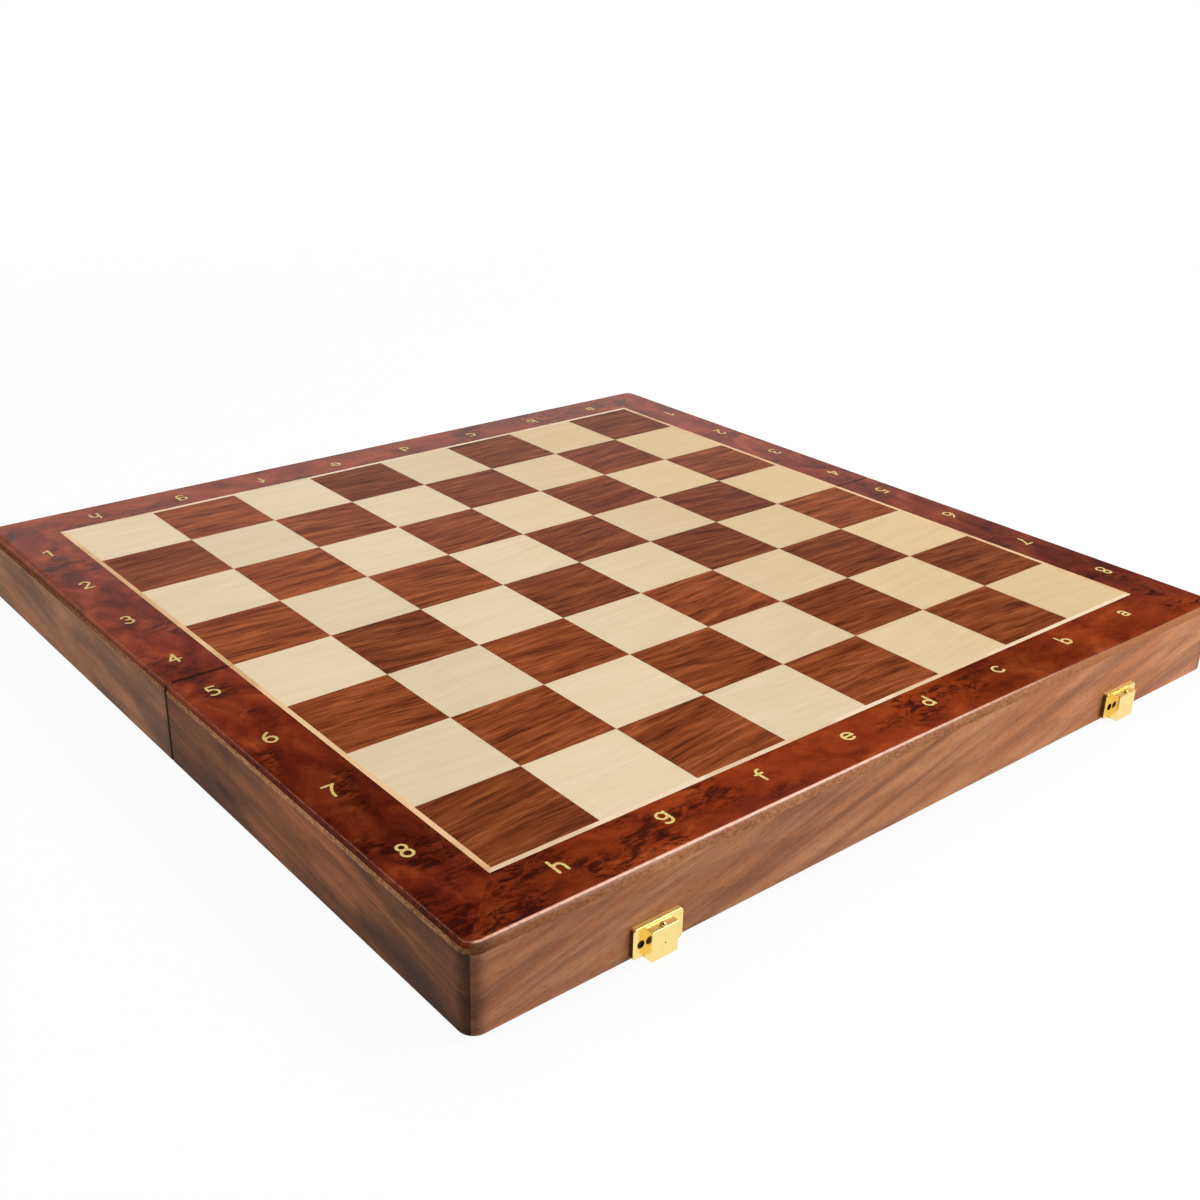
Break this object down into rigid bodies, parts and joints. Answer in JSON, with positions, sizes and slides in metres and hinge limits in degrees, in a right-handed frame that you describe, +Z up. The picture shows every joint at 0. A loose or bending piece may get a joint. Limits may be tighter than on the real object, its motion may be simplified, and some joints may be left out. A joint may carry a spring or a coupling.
{
  "type": "folding chess board",
  "caption": "Folding chess board of walnut case halves with a veneered top, hinged underneath, that close into a box held by brass hasps and catches.",
  "frame": {"origin": "middle of the open board, level with the undersides of the hinge barrels, which are the lowest things", "axes": "+X along the near edge and the seam, +Y from the near edge across the seam to the far edge, +Z up out of the playing surface"},
  "size_m": [0.382, 0.3895, 0.0336],
  "materials": {
    "case_walnut": "solid walnut under glossy lacquer, with dark streaks along the grain",
    "panel_edge": "rounded edge of the top panel, glossy lacquer",
    "border_veneer": "figured red-brown veneer under glossy lacquer",
    "dark_veneer": "red-brown veneer under satin to glossy lacquer",
    "light_veneer": "maple veneer under satin to glossy lacquer",
    "stringing": "pale peach-coloured line of veneer, lacquered",
    "coordinates": "thin pale gold inlay with a satin sheen",
    "felt": "short-pile felt",
    "latch_brass": "polished and lacquered",
    "screws": "satin",
    "nails": "browned, dull",
    "pins": "drawn wire, satin"
  },
  "bodies": {
    "near_half": {"left_catch": "latch_brass", "left_catch_nails": "nails", "left_catch_stud": "latch_brass", "left_hinge_near_leaf": "latch_brass", "left_hinge_near_screws": "screws", "left_hinge_pin": "pins", "near_dark_squares": "dark_veneer", "near_felt_lining": "felt", "near_left_border": "border_veneer", "near_left_rail": "case_walnut", "near_left_stringing": "stringing", "near_letters": "coordinates", "near_light_squares": "light_veneer", "near_numbers": "coordinates", "near_outer_border": "border_veneer", "near_outer_rail": "case_walnut", "near_outer_stringing": "stringing", "near_right_border": "border_veneer", "near_right_rail": "case_walnut", "near_right_stringing": "stringing", "near_seam_rail": "case_walnut", "near_top_panel": "panel_edge", "right_catch": "latch_brass", "right_catch_nails": "nails", "right_catch_stud": "latch_brass", "right_hinge_near_leaf": "latch_brass", "right_hinge_near_screws": "screws", "right_hinge_pin": "pins"},
    "far_half": {"far_dark_squares": "dark_veneer", "far_felt_lining": "felt", "far_left_border": "border_veneer", "far_left_rail": "case_walnut", "far_left_stringing": "stringing", "far_letters": "coordinates", "far_light_squares": "light_veneer", "far_numbers": "coordinates", "far_outer_border": "border_veneer", "far_outer_rail": "case_walnut", "far_outer_stringing": "stringing", "far_right_border": "border_veneer", "far_right_rail": "case_walnut", "far_right_stringing": "stringing", "far_seam_rail": "case_walnut", "far_top_panel": "panel_edge", "left_hasp_base": "latch_brass", "left_hasp_nails": "nails", "left_hinge_far_leaf": "latch_brass", "left_hinge_far_screws": "screws", "right_hasp_base": "latch_brass", "right_hasp_nails": "nails", "right_hinge_far_leaf": "latch_brass", "right_hinge_far_screws": "screws"},
    "left_hasp": {"left_hasp_loop": "latch_brass", "left_hasp_pin": "pins"},
    "right_hasp": {"right_hasp_loop": "latch_brass", "right_hasp_pin": "pins"}
  },
  "joints": [
    {"name": "fold", "type": "hinge", "parent": "near_half", "child": "far_half", "pos_m": [0, 0, 0.0014], "axis": [-1, 0, 0], "range_deg": [0, 180]},
    {"name": "left_hasp_swing", "type": "hinge", "parent": "far_half", "child": "left_hasp", "pos_m": [-0.123, 0.19235, 0.0045], "axis": [-1, 0, 0], "range_deg": [0, 180]},
    {"name": "right_hasp_swing", "type": "hinge", "parent": "far_half", "child": "right_hasp", "pos_m": [0.123, 0.19235, 0.0045], "axis": [-1, 0, 0], "range_deg": [0, 180]}
  ]
}
